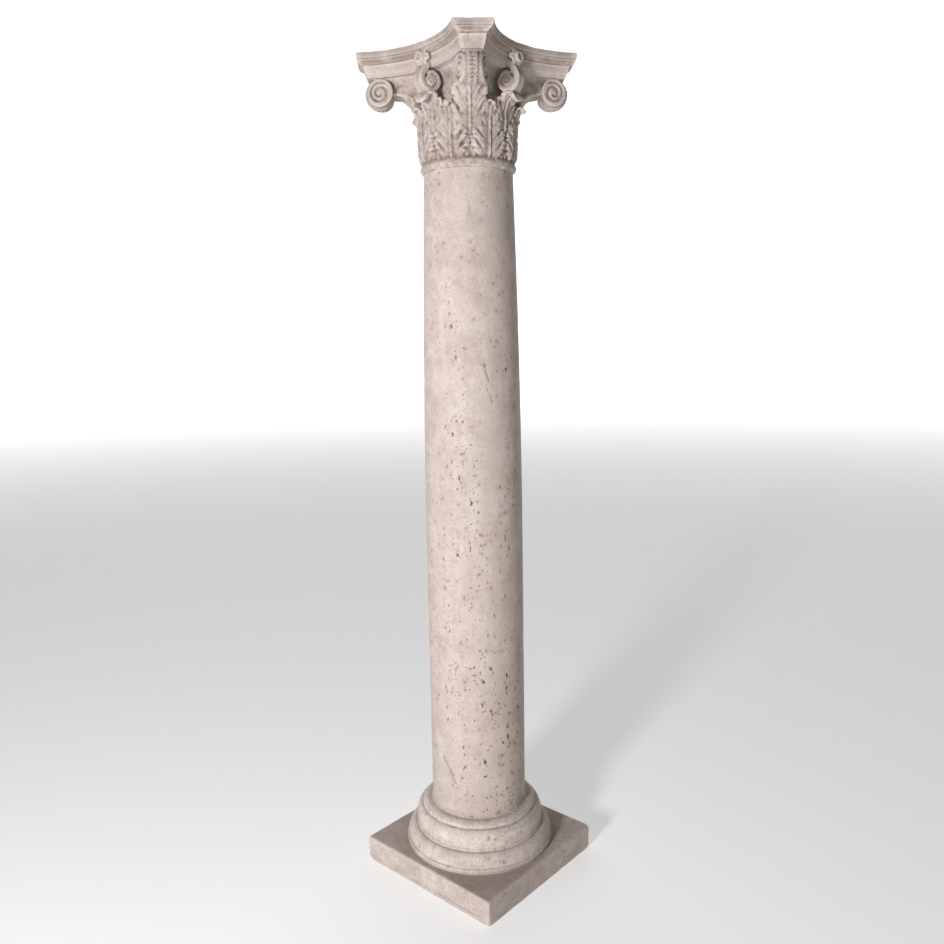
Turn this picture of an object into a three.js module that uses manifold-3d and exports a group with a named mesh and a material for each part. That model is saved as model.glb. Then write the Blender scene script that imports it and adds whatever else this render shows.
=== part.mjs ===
// Corinthian column with a plain tapering shaft, cast in three pieces that stand on one another:
// a moulded base on its square plinth, the shaft, and the capital with leaves, scrolls and abacus.
// Millimetres, +Z up, origin at the centre of the plinth's underside, plinth sides square to X and Y.
import * as THREE from "three";
import { mergeVertices } from "three/addons/utils/BufferGeometryUtils.js";
import Module from "manifold-3d";

const wasm = await Module();
wasm.setup();

// Driving dimensions
const baseTop = 186;
const shaftTop = 1857;

const plinth = { side: 445, height: 69, edgeBevel: 3 };
const mouldings = {
  rimRadius: 203,
  rimHeight: 13,
  lowerTorusRadius: 199,
  filletRadius: 175.5,
  filletFoot: 117,
  filletBand: 5,
  upperTorusRadius: 174,
  upperTorusLift: 16,
  grooveRadius: 157,
  grooveHeight: 170,
  collarRadius: 136,
  quirk: 1,
};
const shaft = {
  footRadius: 129,
  neckRadius: 112,
  flare: 5.5,
  flareHeight: 14,
  flareSteps: 2,
  straightShare: 0.42,
  taperPower: 1.8,
  taperSteps: 4,
};
const roundSegments = 32;
const bulgeSteps = 3;

// Each side of the abacus is a hollow arc of this many steps, and a flat cut takes the point off each horn.
const arcSteps = 6;

// The round bell from the astragal's foot upwards, as [height, radius].
const bellLevels = [
  [1857, 112], [1862, 117.5], [1876, 117.5], [1881, 114], [1895, 116], [1985, 116], [2003, 114], [2028, 107],
];
// Horns under the abacus, then the abacus with its mouldings, as [height, midRadius, reach, halfWidth].
const hornLevels = [
  [2043, 105, 178, 27], [2047, 105, 196, 24], [2063, 107, 206, 23], [2081, 119, 230, 22],
  [2081.5, 141, 242, 24], [2089, 145, 246, 27], [2109, 150, 253, 31], [2111, 153, 260, 33],
  [2119, 162, 266, 43], [2127, 165, 268, 46], [2134, 165, 268, 46],
];

// Leaves climb along paths of [reach, height]; each blade is full up to its shoulder and draws in above it.
const lowerLeaf = {
  path: [[112, 1880], [120, 1891], [123, 1920], [124, 1955], [129, 1983], [137, 1996], [142, 1989]],
  count: 8,
  firstAngle: Math.PI / 8,
  halfWidth: 50,
  shoulder: 0.36,
  tipDraw: 0.8,
  point: 1.15,
  thickness: 9,
};
const sideLeaf = {
  path: [[103, 1912], [120, 1945], [125, 1985], [133, 2008], [146, 2018], [155, 2013], [155, 2003]],
  count: 4,
  firstAngle: 0,
  halfWidth: 42,
  shoulder: 0.45,
  tipDraw: 0.5,
  point: 2,
  thickness: 9,
};
const cornerLeaf = {
  path: [[103, 1912], [121, 1945], [126, 1980], [132, 2004], [141, 2024], [156, 2038], [174, 2045]],
  count: 4,
  firstAngle: Math.PI / 4,
  halfWidth: 45,
  shoulder: 0.76,
  tipDraw: 0.5,
  point: 1.5,
  thickness: 30,
};
const blade = { footShare: 0.88, spread: 0.3, spreadEnd: 0.4, pointEnd: 0.95 };
const leafBody = { rows: 8, ribHeight: 5, lobeDepth: 4.5, lobeNotch: 0.2, edgeFall: 3 };
const leafFront = [-1, -0.55, 0, 0.55, 1];
const leafBack = [0.6, -0.6];

const volute = { reach: 214, height: 2047, radius: 32, rimHalfWidth: 21, splay: 0.34, sides: 18 };
const voluteGroove = {
  start: 25,
  startAngle: 0.75 * Math.PI,
  pitch: 11,
  turns: 1.5,
  width: 6,
  narrowing: 0.25,
  depth: 7,
  stepsPerTurn: 9,
};

// Side scrolls: the ribbon's middle line as [reach, height], from the abacus down and round the eye.
const scroll = {
  line: [
    [138, 2102], [147, 2091], [157, 2078], [166, 2061], [164, 2043], [153, 2032], [139, 2031], [129, 2038],
    [125, 2051], [130, 2064], [141, 2070], [151, 2065],
  ],
  steps: 18,
  thickness: 17,
  taper: 7,
  outerReach: 174,
  halfWidth: 11,
  splay: 0.3,
  eyeReach: 145,
  eyeHeight: 2051,
  fieldRadius: 21,
  fieldRecess: 7,
  bossRadius: 13,
  sides: 10,
};
const fleuron = { reach: 154, height: 2102, radius: 24, depth: 17, petals: 6, petalDip: 0.16 };
// The flower's rings from back to front, as [share of depth, share of radius].
const fleuronLevels = [[-0.7, 0.72], [0.4, 1], [0.8, 0.7], [1, 0.3]];

const upAxis = new THREE.Vector3(0, 0, 1);

// Solids and meshes

function solidOf(geometry) {
  const bare = geometry.clone();
  bare.deleteAttribute("normal");
  bare.deleteAttribute("uv");
  const merged = mergeVertices(bare, 1e-3);
  const triVerts = new Uint32Array(merged.index.array);
  const vertProperties = merged.attributes.position.array;
  return new wasm.Manifold(new wasm.Mesh({ numProp: 3, vertProperties, triVerts }));
}

function geometryOf(solid) {
  const { vertProperties, triVerts } = solid.getMesh();
  const geometry = new THREE.BufferGeometry();
  geometry.setAttribute("position", new THREE.BufferAttribute(vertProperties, 3));
  geometry.setIndex(new THREE.BufferAttribute(triVerts, 1));
  geometry.computeVertexNormals();
  return geometry;
}

const join = (solids) => solids.reduce((whole, next) => whole.add(next));

// A round body about Z from [radius, height] points, foot first.
function turned(profile) {
  const ends = [[0, profile[0][1]], ...profile, [0, profile.at(-1)[1]]];
  const points = ends.map(([radius, height]) => new THREE.Vector2(radius, height));
  return new THREE.LatheGeometry(points, roundSegments).rotateX(Math.PI / 2);
}

// A quarter of an ellipse from one [radius, height] point to another, bulging outwards.
function bulge([fromRadius, fromHeight], [toRadius, toHeight]) {
  return Array.from({ length: bulgeSteps + 1 }, (_, i) => {
    const turn = (i / bulgeSteps) * (Math.PI / 2);
    return [
      toRadius + (fromRadius - toRadius) * Math.cos(turn),
      fromHeight + (toHeight - fromHeight) * Math.sin(turn),
    ];
  });
}

// A closed body over rings of equally many points, foot ring first, with a fan over each end.
function ringBody(rings) {
  const count = rings[0].length;
  const middle = (ring) =>
    ring.reduce((sum, p) => sum.add(p), new THREE.Vector3()).divideScalar(count);
  const points = [...rings.flat(), middle(rings[0]), middle(rings.at(-1))];
  const [footPole, topPole] = [points.length - 2, points.length - 1];
  const index = [];
  for (let j = 0; j < count; j++) {
    const next = (j + 1) % count;
    index.push(footPole, next, j);
    for (let i = 0; i + 1 < rings.length; i++) {
      const [a, b] = [i * count + j, i * count + next];
      index.push(a, b, b + count, a, b + count, a + count);
    }
    const last = (rings.length - 1) * count;
    index.push(topPole, last + j, last + next);
  }
  return new THREE.BufferGeometry().setFromPoints(points).setIndex(index);
}

// A flat outline in the upright plane through the axis, given thickness on both sides of that plane.
// halfThickness(reach) lets the two faces draw apart towards the axis.
function plate(outline, halfThickness) {
  const shape = new THREE.Shape(outline.map(([reach, height]) => new THREE.Vector2(reach, height)));
  const geometry = new THREE.ExtrudeGeometry(shape, { depth: 2, bevelEnabled: false, steps: 1 });
  const position = geometry.attributes.position;
  for (let i = 0; i < position.count; i++) {
    const [reach, height, side] = [position.getX(i), position.getY(i), 1 - position.getZ(i)];
    position.setXYZ(i, reach, side * halfThickness(reach), height);
  }
  return geometry;
}

function copiesAround(geometry, count, firstAngle) {
  return Array.from({ length: count }, (_, k) =>
    solidOf(geometry.clone().rotateZ(firstAngle + (k * 2 * Math.PI) / count)),
  );
}

// The base: plinth, lower torus on its rim, fillet, upper torus and collar

function makeBase() {
  const { side, height, edgeBevel } = plinth;
  const half = side / 2 - edgeBevel;
  const square = new THREE.Shape(
    [[-half, -half], [half, -half], [half, half], [-half, half]].map((p) => new THREE.Vector2(...p)),
  );
  const slab = new THREE.ExtrudeGeometry(square, {
    depth: height - 2 * edgeBevel,
    bevelThickness: edgeBevel,
    bevelSize: edgeBevel,
    bevelSegments: 1,
  }).translate(0, 0, edgeBevel);

  const m = mouldings;
  const rimTop = height + m.rimHeight;
  const filletTop = m.filletFoot + m.filletBand;
  const upperTorusMiddle = filletTop + m.upperTorusLift;
  const grooveLip = [m.grooveRadius + 2 * m.quirk, m.grooveHeight - m.quirk];
  const profile = [
    [m.rimRadius, height - edgeBevel],
    [m.rimRadius, rimTop],
    ...bulge([m.lowerTorusRadius, rimTop + m.quirk], [m.filletRadius + m.quirk, m.filletFoot - m.quirk]),
    [m.filletRadius, m.filletFoot],
    [m.filletRadius, filletTop],
    [m.upperTorusRadius - 2 * m.quirk, filletTop + m.quirk],
    ...bulge([m.upperTorusRadius, upperTorusMiddle], grooveLip),
    [m.grooveRadius, m.grooveHeight],
    ...bulge([m.grooveRadius, m.grooveHeight + 2 * m.quirk], [m.collarRadius, baseTop]),
  ];
  return geometryOf(solidOf(slab).add(solidOf(turned(profile))));
}

// The shaft: straight below, then drawn in along an easy curve to the neck

function shaftRadius(share) {
  const above = Math.max(0, (share - shaft.straightShare) / (1 - shaft.straightShare));
  return shaft.footRadius - (shaft.footRadius - shaft.neckRadius) * above ** shaft.taperPower;
}

function makeShaft() {
  const { footRadius, flare, flareHeight, flareSteps, straightShare, taperSteps } = shaft;
  const length = shaftTop - baseTop;
  const foot = Array.from({ length: flareSteps + 1 }, (_, i) => {
    const share = i / flareSteps;
    return [footRadius + flare * (1 - share) ** 2, baseTop + flareHeight * share];
  });
  const body = Array.from({ length: taperSteps + 1 }, (_, i) => {
    const share = straightShare + ((1 - straightShare) * i) / taperSteps;
    return [shaftRadius(share), baseTop + length * share];
  });
  return turned([...foot, ...body]);
}

// The bell and abacus: rings that run from the round neck to the four-horned slab

// The arc of one side: it passes midRadius out at the middle and ends at the horn's cut face.
function sideArc(midRadius, reach, halfWidth) {
  const [out, across] = [(reach + halfWidth) / Math.SQRT2, (reach - halfWidth) / Math.SQRT2];
  const centre = (out ** 2 + across ** 2 - midRadius ** 2) / (2 * (out - midRadius));
  const radius = centre - midRadius;
  return { centre, radius, endAngle: Math.asin(across / radius) };
}

function hornedRing(height, midRadius, reach, halfWidth) {
  const { centre, radius, endAngle } = sideArc(midRadius, reach, halfWidth);
  const ring = [];
  for (let side = 0; side < 4; side++) {
    const facing = (side * Math.PI) / 2;
    for (let i = 0; i <= arcSteps; i++) {
      const along = endAngle * ((2 * i) / arcSteps - 1);
      const [out, across] = [centre - radius * Math.cos(along), radius * Math.sin(along)];
      ring.push(new THREE.Vector3(out, across, height).applyAxisAngle(upAxis, facing));
    }
  }
  return ring;
}

// A round ring whose points stand at the same angles as those of the top ring.
function roundRing(height, radius) {
  const [, ...topShape] = hornLevels.at(-1);
  return hornedRing(0, ...topShape).map((point) => point.setLength(radius).setZ(height));
}

function makeBell() {
  const round = bellLevels.map((level) => roundRing(...level));
  const horned = hornLevels.map((level) => hornedRing(...level));
  return ringBody([...round, ...horned]);
}

// Acanthus leaves: a lobed blade that climbs the bell and curls over at its tip

// The blade's width as a share of its half width: it spreads from the foot and draws in past the shoulder.
function bladeShare(along, { shoulder, tipDraw, point }) {
  const above = THREE.MathUtils.clamp((along - shoulder) / (blade.pointEnd - shoulder), 0, 1);
  const lower = blade.footShare + blade.spread * Math.min(along, blade.spreadEnd);
  return lower * (1 - tipDraw * above ** point);
}

function makeLeaf(leaf) {
  const { rows, ribHeight, lobeDepth, lobeNotch, edgeFall } = leafBody;
  const path = new THREE.CatmullRomCurve3(leaf.path.map(([r, z]) => new THREE.Vector3(r, 0, z)));
  const rings = [];
  for (let i = 0; i <= rows; i++) {
    const along = i / rows;
    const [centre, tangent] = [path.getPointAt(along), path.getTangentAt(along)];
    const outward = new THREE.Vector3(tangent.z, 0, -tangent.x);
    const width = leaf.halfWidth * bladeShare(along, leaf);
    const betweenLobes = i % 2;
    const place = (share, raise) => {
      const across = share * width * (1 - betweenLobes * lobeNotch * share ** 2);
      const point = centre.clone().addScaledVector(outward, raise);
      return point.applyAxisAngle(upAxis, across / centre.x);
    };
    const front = leafFront.map((share) => {
      const rib = share === 0 ? ribHeight : 0;
      return place(share, rib - (betweenLobes * lobeDepth + edgeFall * (1 - along)) * share ** 2);
    });
    rings.push([...front, ...leafBack.map((share) => place(share, -leaf.thickness))]);
  }
  return ringBody(rings);
}

function makeLeaves() {
  return [lowerLeaf, sideLeaf, cornerLeaf].flatMap((leaf) =>
    copiesAround(makeLeaf(leaf), leaf.count, leaf.firstAngle),
  );
}

// Corner volutes: a drum that widens towards the bell, with a spiral groove cut in both faces

function disc(reach, height, radius, sides) {
  return Array.from({ length: sides }, (_, i) => {
    const angle = (i / sides) * 2 * Math.PI;
    return [reach + radius * Math.cos(angle), height + radius * Math.sin(angle)];
  });
}

function spiralBand() {
  const { start, startAngle, pitch, turns, width, narrowing, stepsPerTurn } = voluteGroove;
  const steps = Math.round(turns * stepsPerTurn);
  const edge = (side) =>
    Array.from({ length: steps + 1 }, (_, i) => {
      const turn = (i / steps) * turns;
      const angle = startAngle - turn * 2 * Math.PI;
      const size = start - pitch * turn + side * (width / 2) * (1 - narrowing * turn);
      return [volute.reach + size * Math.cos(angle), volute.height + size * Math.sin(angle)];
    });
  return [...edge(-1), ...edge(1).reverse()];
}

function makeVolutes() {
  const { reach, height, radius, rimHalfWidth, splay, sides } = volute;
  const face = (out) => rimHalfWidth + splay * (reach + radius - out);
  const drum = solidOf(plate(disc(reach, height, radius, sides), face));
  const spiral = solidOf(plate(spiralBand(), (out) => face(out) + 1));
  const core = solidOf(plate(disc(reach, height, radius, sides), (out) => face(out) - voluteGroove.depth));
  return copiesAround(geometryOf(drum.subtract(spiral.subtract(core))), 4, Math.PI / 4);
}

// Side scrolls: a ribbon drops from the abacus, swings out and curls back in to an eye, widening inwards

function makeScrolls() {
  const { steps, thickness, taper, eyeReach, eyeHeight, fieldRadius, fieldRecess } = scroll;
  const face = (reach) => scroll.halfWidth + scroll.splay * (scroll.outerReach - reach);
  const line = new THREE.CatmullRomCurve3(scroll.line.map(([r, z]) => new THREE.Vector3(r, z, 0)));
  const edge = (side) =>
    Array.from({ length: steps + 1 }, (_, i) => {
      const [centre, tangent] = [line.getPointAt(i / steps), line.getTangentAt(i / steps)];
      const half = (thickness - taper * (i / steps)) / 2;
      return [centre.x - side * half * tangent.y, centre.y + side * half * tangent.x];
    });
  const pieces = [
    plate([...edge(1), ...edge(-1).reverse()], face),
    plate(disc(eyeReach, eyeHeight, fieldRadius, scroll.sides), (reach) => face(reach) - fieldRecess),
    plate(disc(eyeReach, eyeHeight, scroll.bossRadius, scroll.sides), face),
  ];
  return pieces.flatMap((piece) => copiesAround(piece, 4, 0));
}

// Fleurons: a petalled flower on the middle of each side of the abacus

function makeFleurons() {
  const { reach, height, radius, depth, petals, petalDip } = fleuron;
  const sides = petals * 2;
  const rings = fleuronLevels.map(([out, share]) =>
    Array.from({ length: sides }, (_, i) => {
      const angle = (i / sides) * 2 * Math.PI;
      const dip = petalDip * share * (1 - Math.abs(Math.cos((petals * angle) / 2)));
      const size = radius * share * (1 - dip);
      return new THREE.Vector3(reach + depth * out, size * Math.cos(angle), height + size * Math.sin(angle));
    }),
  );
  return copiesAround(ringBody(rings), 4, 0);
}

function makeCapital() {
  const bellAndAbacus = solidOf(makeBell());
  return geometryOf(
    join([bellAndAbacus, ...makeLeaves(), ...makeVolutes(), ...makeScrolls(), ...makeFleurons()]),
  );
}

// The column

const castStone = (colour) =>
  new THREE.MeshStandardMaterial({ color: colour, roughness: 0.85, metalness: 0 });

const column = new THREE.Group();
for (const [name, geometry, colour] of [
  ["base", makeBase(), 0xc9bcb1],
  ["shaft", makeShaft(), 0xd3c7bb],
  ["capital", makeCapital(), 0xc4b8ae],
]) {
  const piece = new THREE.Mesh(geometry, castStone(colour));
  piece.name = name;
  column.add(piece);
}

export default column;
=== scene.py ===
import math

import bmesh
import bpy
import numpy as np
from mathutils import Matrix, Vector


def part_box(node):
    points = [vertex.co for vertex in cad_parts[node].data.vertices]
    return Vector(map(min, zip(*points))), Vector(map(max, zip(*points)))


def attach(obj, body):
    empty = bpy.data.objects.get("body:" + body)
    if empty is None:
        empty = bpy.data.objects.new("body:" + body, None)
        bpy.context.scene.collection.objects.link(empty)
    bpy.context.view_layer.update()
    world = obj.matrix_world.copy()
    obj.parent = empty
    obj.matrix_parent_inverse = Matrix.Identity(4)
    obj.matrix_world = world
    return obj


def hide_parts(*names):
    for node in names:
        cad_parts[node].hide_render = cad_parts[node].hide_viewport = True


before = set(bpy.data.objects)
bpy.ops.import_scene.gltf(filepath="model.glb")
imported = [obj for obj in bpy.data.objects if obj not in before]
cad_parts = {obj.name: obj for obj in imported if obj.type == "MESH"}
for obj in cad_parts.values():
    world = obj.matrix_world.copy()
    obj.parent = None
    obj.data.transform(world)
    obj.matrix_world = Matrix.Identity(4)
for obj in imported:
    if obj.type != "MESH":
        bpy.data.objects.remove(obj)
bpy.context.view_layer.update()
print("frame loaded:", ", ".join(sorted(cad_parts)))

# Shapes are worked out in millimetres and stored in metres.
mm = 0.001


def boxOf(node):
    # lowest and highest corner of a solid, in millimetres
    return [np.round(np.array(corner) / mm, 3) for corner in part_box(node)]


baseLow, baseHigh = boxOf("base")
shaftLow, shaftHigh = boxOf("shaft")
capitalLow, capitalHigh = boxOf("capital")


def meshObject(name, points, faces):
    mesh = bpy.data.meshes.new(name)
    mesh.from_pydata((np.asarray(points).reshape(-1, 3) * mm).tolist(), [], faces)
    mesh.update()
    thing = bpy.data.objects.new(name, mesh)
    bpy.context.scene.collection.objects.link(thing)
    return thing


def ringBody(name, rings):
    # rows of closed rings, foot first, with a face over each end
    rings = np.asarray(rings)
    rows, columns = rings.shape[:2]
    i, j = np.meshgrid(np.arange(rows - 1), np.arange(columns), indexing="ij")
    after = (j + 1) % columns
    corners = [i * columns + j, i * columns + after, (i + 1) * columns + after, (i + 1) * columns + j]
    quads = np.stack(corners, -1).reshape(-1, 4).tolist()
    last = (rows - 1) * columns
    ends = [list(range(columns))[::-1], list(range(last, last + columns))]
    return meshObject(name, rings, quads + ends)


def joined(name, things):
    mix = bmesh.new()
    for thing in things:
        mix.from_mesh(thing.data)
        bpy.data.objects.remove(thing)
    bmesh.ops.recalc_face_normals(mix, faces=mix.faces)
    mesh = bpy.data.meshes.new(name)
    mix.to_mesh(mesh)
    mix.free()
    whole = bpy.data.objects.new(name, mesh)
    bpy.context.scene.collection.objects.link(whole)
    return whole


def pathThrough(points, count):
    # smooth line through the points at even steps, with its direction
    points = np.asarray(points, float)
    knots = np.concatenate([[0], np.cumsum(np.linalg.norm(np.diff(points, axis=0), axis=1) ** 0.5)])
    slopes = np.gradient(points, knots, axis=0)
    x = np.linspace(0, knots[-1], 900)
    k = np.clip(np.searchsorted(knots, x) - 1, 0, len(knots) - 2)
    width = (knots[k + 1] - knots[k])[:, None]
    t = (x - knots[k])[:, None] / width
    fine = (2 * t**3 - 3 * t**2 + 1) * points[k] + (3 * t**2 - 2 * t**3) * points[k + 1]
    fine += width * ((t**3 - 2 * t**2 + t) * slopes[k] + (t**3 - t**2) * slopes[k + 1])
    length = np.concatenate([[0], np.cumsum(np.linalg.norm(np.diff(fine, axis=0), axis=1))])
    even = np.linspace(0, length[-1], count)
    line = np.stack([np.interp(even, length, fine[:, axis]) for axis in (0, 1)], 1)
    tangent = np.gradient(line, axis=0)
    return line, tangent / np.linalg.norm(tangent, axis=1, keepdims=True)


def ease(x, low, high):
    t = np.clip((x - low) / (high - low), 0, 1)
    return t * t * (3 - 2 * t)


def bump(x, width):
    return np.exp(-((x / width) ** 2))


# Node trees for what repeats or lies all over a surface

def newTree(name, inputs):
    tree = bpy.data.node_groups.new(name, "GeometryNodeTree")
    tree.interface.new_socket("Geometry", in_out="INPUT", socket_type="NodeSocketGeometry")
    for label, kind in inputs:
        tree.interface.new_socket(label, in_out="INPUT", socket_type="NodeSocket" + kind)
    tree.interface.new_socket("Geometry", in_out="OUTPUT", socket_type="NodeSocketGeometry")
    return tree, tree.nodes.new("NodeGroupInput"), tree.nodes.new("NodeGroupOutput")


def addNode(tree, kind, inputs=None, **settings):
    node = tree.nodes.new(kind)
    for key, value in settings.items():
        setattr(node, key, value)
    for key, value in (inputs or {}).items():
        if isinstance(value, bpy.types.NodeSocket):
            tree.links.new(value, node.inputs[key])
        else:
            node.inputs[key].default_value = value
    return node


def sums(tree, operation, first, second):
    return addNode(tree, "ShaderNodeMath", {0: first, 1: second}, operation=operation).outputs[0]


def times(tree, first, second):
    return sums(tree, "MULTIPLY", first, second)


def settled(thing):
    # what the modifiers make becomes the thing's own mesh
    graph = bpy.context.evaluated_depsgraph_get()
    thing.data = bpy.data.meshes.new_from_object(thing.evaluated_get(graph))
    thing.modifiers.clear()
    return thing


def runTree(thing, tree, values):
    modifier = thing.modifiers.new(tree.name, "NODES")
    modifier.node_group = tree
    for item in tree.interface.items_tree:
        if item.in_out == "INPUT" and item.name in values:
            modifier[item.identifier] = values[item.name]
    return settled(thing)


def pushed(tree, geometry, lift):
    # points moved along the surface's own direction
    normal = addNode(tree, "GeometryNodeInputNormal").outputs[0]
    offset = addNode(tree, "ShaderNodeVectorMath", {0: normal, "Scale": lift}, operation="SCALE")
    return addNode(tree, "GeometryNodeSetPosition",
                   {"Geometry": geometry, "Offset": offset.outputs[0]}).outputs[0]


def finishTree(tree, geometry, material, out):
    real = addNode(tree, "GeometryNodeRealizeInstances", {"Geometry": geometry})
    dressed = addNode(tree, "GeometryNodeSetMaterial", {"Geometry": real.outputs[0], "Material": material})
    tree.links.new(dressed.outputs[0], out.inputs[0])


def turnedCopiesTree():
    # copies turned about an axis through the origin, one step apart
    tree, given, out = newTree("turnedCopies", [
        ("Count", "Int"), ("First Angle", "Float"), ("Step Angle", "Float"), ("Axis", "Vector"),
        ("Jitter", "Float"), ("Seed", "Int"), ("Material", "Material"),
    ])
    points = addNode(tree, "GeometryNodePoints", {"Count": given.outputs["Count"]})
    index = addNode(tree, "GeometryNodeInputIndex").outputs[0]
    angle = times(tree, index, given.outputs["Step Angle"])
    angle = sums(tree, "ADD", angle, given.outputs["First Angle"])
    spread = addNode(tree, "FunctionNodeRandomValue", {2: -1.0, 3: 1.0, "Seed": given.outputs["Seed"]})
    shift = times(tree, spread.outputs[1], given.outputs["Jitter"])
    turn = addNode(tree, "FunctionNodeAxisAngleToRotation",
                   {"Axis": given.outputs["Axis"], "Angle": sums(tree, "ADD", angle, shift)})
    copies = addNode(tree, "GeometryNodeInstanceOnPoints", {
        "Points": points.outputs[0], "Instance": given.outputs["Geometry"], "Rotation": turn.outputs[0],
    })
    finishTree(tree, copies.outputs[0], given.outputs["Material"], out)
    return tree


def wornTree():
    # a little unevenness all over
    tree, given, out = newTree("wornSurface", [
        ("Scale", "Float"), ("Amount", "Float"), ("Seed", "Float"), ("Material", "Material"),
    ])
    noise = addNode(tree, "ShaderNodeTexNoise", {
        "Scale": given.outputs["Scale"], "W": given.outputs["Seed"], "Detail": 3.0,
    }, noise_dimensions="4D")
    lift = times(tree, sums(tree, "SUBTRACT", noise.outputs[0], 0.5), given.outputs["Amount"])
    finishTree(tree, pushed(tree, given.outputs["Geometry"], lift), given.outputs["Material"], out)
    return tree


def rubbedTree():
    # carving softened in patches, as if by many hands and much weather
    tree, given, out = newTree("rubbedPatches", [
        ("Scale", "Float"), ("Level", "Float"), ("Rounds", "Int"), ("Material", "Material"),
    ])
    patch = addNode(tree, "ShaderNodeTexNoise", {"Scale": given.outputs["Scale"], "Detail": 2.0})
    weight = addNode(tree, "ShaderNodeMapRange", {
        "Value": patch.outputs[0], "From Min": given.outputs["Level"],
        "From Max": sums(tree, "ADD", given.outputs["Level"], 0.14),
    })
    place = addNode(tree, "GeometryNodeInputPosition").outputs[0]
    blurred = addNode(tree, "GeometryNodeBlurAttribute", data_type="FLOAT_VECTOR")
    vectorIn = [socket for socket in blurred.inputs if socket.type == "VECTOR" and socket.enabled][0]
    vectorOut = [socket for socket in blurred.outputs if socket.type == "VECTOR" and socket.enabled][0]
    tree.links.new(place, vectorIn)
    tree.links.new(given.outputs["Rounds"], blurred.inputs["Iterations"])
    tree.links.new(weight.outputs[0], blurred.inputs["Weight"])
    moved = addNode(tree, "GeometryNodeSetPosition",
                    {"Geometry": given.outputs["Geometry"], "Position": vectorOut})
    finishTree(tree, moved.outputs[0], given.outputs["Material"], out)
    return tree


def pittedTree():
    # pits sunk where points fall, thicker in patches; the depth is kept as an attribute for the material
    tree, given, out = newTree("pittedStone", [
        ("Density", "Float"), ("Patch Scale", "Float"), ("Patch Level", "Float"), ("Small Radius", "Float"),
        ("Large Radius", "Float"), ("Depth", "Float"), ("Seed", "Int"), ("Material", "Material"),
    ])
    patch = addNode(tree, "ShaderNodeTexNoise", {"Scale": given.outputs["Patch Scale"], "Detail": 2.0})
    share = addNode(tree, "ShaderNodeMapRange", {
        "Value": patch.outputs[0], "From Min": given.outputs["Patch Level"],
        "From Max": sums(tree, "ADD", given.outputs["Patch Level"], 0.16), "To Min": 0.06, "To Max": 1.0,
    })
    scatter = addNode(tree, "GeometryNodeDistributePointsOnFaces", {
        "Mesh": given.outputs["Geometry"], "Seed": given.outputs["Seed"],
        "Density": times(tree, share.outputs[0], given.outputs["Density"]),
    })
    chance = addNode(tree, "FunctionNodeRandomValue", {2: 0.0, 3: 1.0, "Seed": given.outputs["Seed"]})
    skewed = sums(tree, "POWER", chance.outputs[1], 3.0)
    size = addNode(tree, "ShaderNodeMapRange", {
        "Value": skewed, "To Min": given.outputs["Small Radius"], "To Max": given.outputs["Large Radius"],
    })
    near = addNode(tree, "GeometryNodeProximity", {"Geometry": scatter.outputs[0]}, target_element="POINTS")
    which = addNode(tree, "GeometryNodeSampleNearest", {"Geometry": scatter.outputs[0]})
    radius = addNode(tree, "GeometryNodeSampleIndex", {
        "Geometry": scatter.outputs[0], "Value": size.outputs[0], "Index": which.outputs[0],
    })
    reach = sums(tree, "DIVIDE", near.outputs["Distance"], radius.outputs[0])
    hollow = addNode(tree, "ShaderNodeMapRange", {"Value": reach, "From Min": 1.0, "From Max": 0.35},
                     interpolation_type="SMOOTHSTEP")
    stain = addNode(tree, "ShaderNodeMapRange", {"Value": reach, "From Min": 4.5, "From Max": 0.8},
                    interpolation_type="SMOOTHSTEP")
    relative = sums(tree, "DIVIDE", radius.outputs[0], given.outputs["Large Radius"])
    lift = times(tree, times(tree, hollow.outputs[0], relative), given.outputs["Depth"])
    first = addNode(tree, "GeometryNodeStoreNamedAttribute", {
        "Geometry": given.outputs["Geometry"], "Name": "pit", "Value": hollow.outputs[0],
    })
    second = addNode(tree, "GeometryNodeStoreNamedAttribute", {
        "Geometry": first.outputs[0], "Name": "stain", "Value": stain.outputs[0],
    })
    moved = pushed(tree, second.outputs[0], times(tree, lift, -1.0))
    finishTree(tree, moved, given.outputs["Material"], out)
    return tree


def gougedTree():
    # a frayed scratch along a bent line, added to the pits
    tree, given, out = newTree("gougedStone", [
        ("Start", "Vector"), ("Middle", "Vector"), ("End", "Vector"),
        ("Half Width", "Float"), ("Depth", "Float"), ("Shade", "Float"), ("Material", "Material"),
    ])
    line = addNode(tree, "GeometryNodeCurveQuadraticBezier", {
        "Start": given.outputs["Start"], "Middle": given.outputs["Middle"], "End": given.outputs["End"],
    })
    wire = addNode(tree, "GeometryNodeCurveToMesh", {"Curve": line.outputs[0]})
    near = addNode(tree, "GeometryNodeProximity", {"Geometry": wire.outputs[0]}, target_element="EDGES")
    fray = addNode(tree, "ShaderNodeTexNoise", {"Scale": 160.0, "Detail": 2.0})
    width = addNode(tree, "ShaderNodeMapRange", {
        "Value": fray.outputs[0], "From Min": 0.3, "From Max": 0.7, "To Min": 0.2, "To Max": 1.8,
    })
    reach = sums(tree, "DIVIDE", near.outputs["Distance"],
                 times(tree, width.outputs[0], given.outputs["Half Width"]))
    hollow = addNode(tree, "ShaderNodeMapRange", {"Value": reach, "From Min": 1.0, "From Max": 0.1},
                     interpolation_type="SMOOTHSTEP").outputs[0]
    pits = addNode(tree, "GeometryNodeInputNamedAttribute", {"Name": "pit"}).outputs[0]
    kept = addNode(tree, "GeometryNodeStoreNamedAttribute", {
        "Geometry": given.outputs["Geometry"], "Name": "pit",
        "Value": sums(tree, "MAXIMUM", pits, times(tree, hollow, given.outputs["Shade"])),
    })
    lift = times(tree, times(tree, hollow, given.outputs["Depth"]), -1.0)
    finishTree(tree, pushed(tree, kept.outputs[0], lift), given.outputs["Material"], out)
    return tree


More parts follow.
